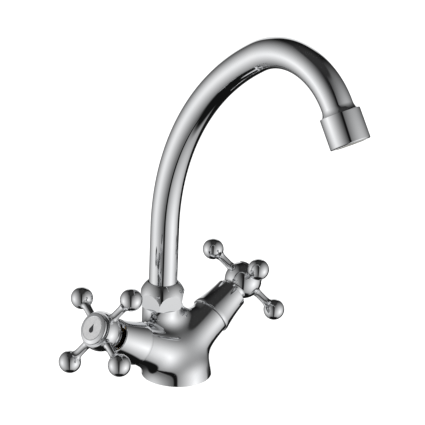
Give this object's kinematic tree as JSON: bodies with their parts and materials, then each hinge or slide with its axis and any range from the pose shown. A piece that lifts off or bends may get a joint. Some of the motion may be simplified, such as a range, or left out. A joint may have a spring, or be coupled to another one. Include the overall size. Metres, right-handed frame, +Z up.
{
  "type": "basin mixer tap",
  "caption": "Single-hole basin mixer tap with two ball-ended cross handles on inclined valve arms and a swivelling swan-neck spout with an aerator.",
  "frame": {"origin": "centre of the round base on the deck", "axes": "+Z up from the deck; the spout points to -Y at rest; the hot valve is on -X and the cold valve on +X"},
  "size_m": [0.1781, 0.1909, 0.2591],
  "materials": {
    "chrome_casting": "polished chrome plate on a brass casting",
    "chrome_turned": "polished chrome plate on turned brass",
    "chrome_tube": "polished chrome plate on drawn brass tube",
    "chrome_handle": "polished chrome plate on the turned handle pieces",
    "chrome_small": "bright steel screw",
    "brass": "machined brass, unplated",
    "spring_steel": "spring steel",
    "ceramic": "lapped alumina ceramic",
    "black_rubber": "moulded black rubber",
    "nylon": "moulded white plastic",
    "fibre": "red vulcanised fibre",
    "index_enamel": "pale grey enamel index disc"
  },
  "bodies": {
    "body": {"body_casting": "chrome_casting", "base_seal": "black_rubber", "spout_nut": "chrome_turned", "stop_screw": "chrome_small", "slip_washer": "nylon", "hot_bonnet": "brass", "hot_fibre_washer": "fibre", "hot_seat_seal": "black_rubber", "hot_fixed_disc": "ceramic", "hot_thrust_washer": "nylon", "hot_shroud": "chrome_turned", "cold_bonnet": "brass", "cold_fibre_washer": "fibre", "cold_seat_seal": "black_rubber", "cold_fixed_disc": "ceramic", "cold_thrust_washer": "nylon", "cold_shroud": "chrome_turned"},
    "spout": {"spout_tube": "chrome_tube", "spout_spigot": "brass", "spout_orings": "black_rubber", "outlet_collar": "chrome_turned", "aerator_housing": "chrome_turned", "aerator_washer": "black_rubber", "flow_straightener": "nylon", "aerator_screen": "nylon"},
    "hot_handle": {"hot_moving_disc": "ceramic", "hot_spindle": "brass", "hot_spindle_oring": "black_rubber", "hot_spindle_clip": "spring_steel", "hot_hub": "chrome_handle", "hot_handle_arms": "chrome_handle", "hot_handle_screw": "brass", "hot_bezel": "chrome_handle", "hot_index_disc": "index_enamel"},
    "cold_handle": {"cold_moving_disc": "ceramic", "cold_spindle": "brass", "cold_spindle_oring": "black_rubber", "cold_spindle_clip": "spring_steel", "cold_hub": "chrome_handle", "cold_handle_arms": "chrome_handle", "cold_handle_screw": "brass", "cold_bezel": "chrome_handle", "cold_index_disc": "index_enamel"}
  },
  "joints": [
    {"name": "spout_swivel", "type": "hinge", "parent": "body", "child": "spout", "pos_m": [0, 0.0165, 0.06], "axis": [0, 0, 1], "range_deg": [-60, 60]},
    {"name": "hot_turn", "type": "hinge", "parent": "body", "child": "hot_handle", "pos_m": [-0.06842, 0.004, 0.05], "axis": [-0.866, 0, 0.5], "range_deg": [0, 90]},
    {"name": "cold_turn", "type": "hinge", "parent": "body", "child": "cold_handle", "pos_m": [0.06842, 0.004, 0.05], "axis": [0.866, 0, 0.5], "range_deg": [-90, 0]}
  ]
}
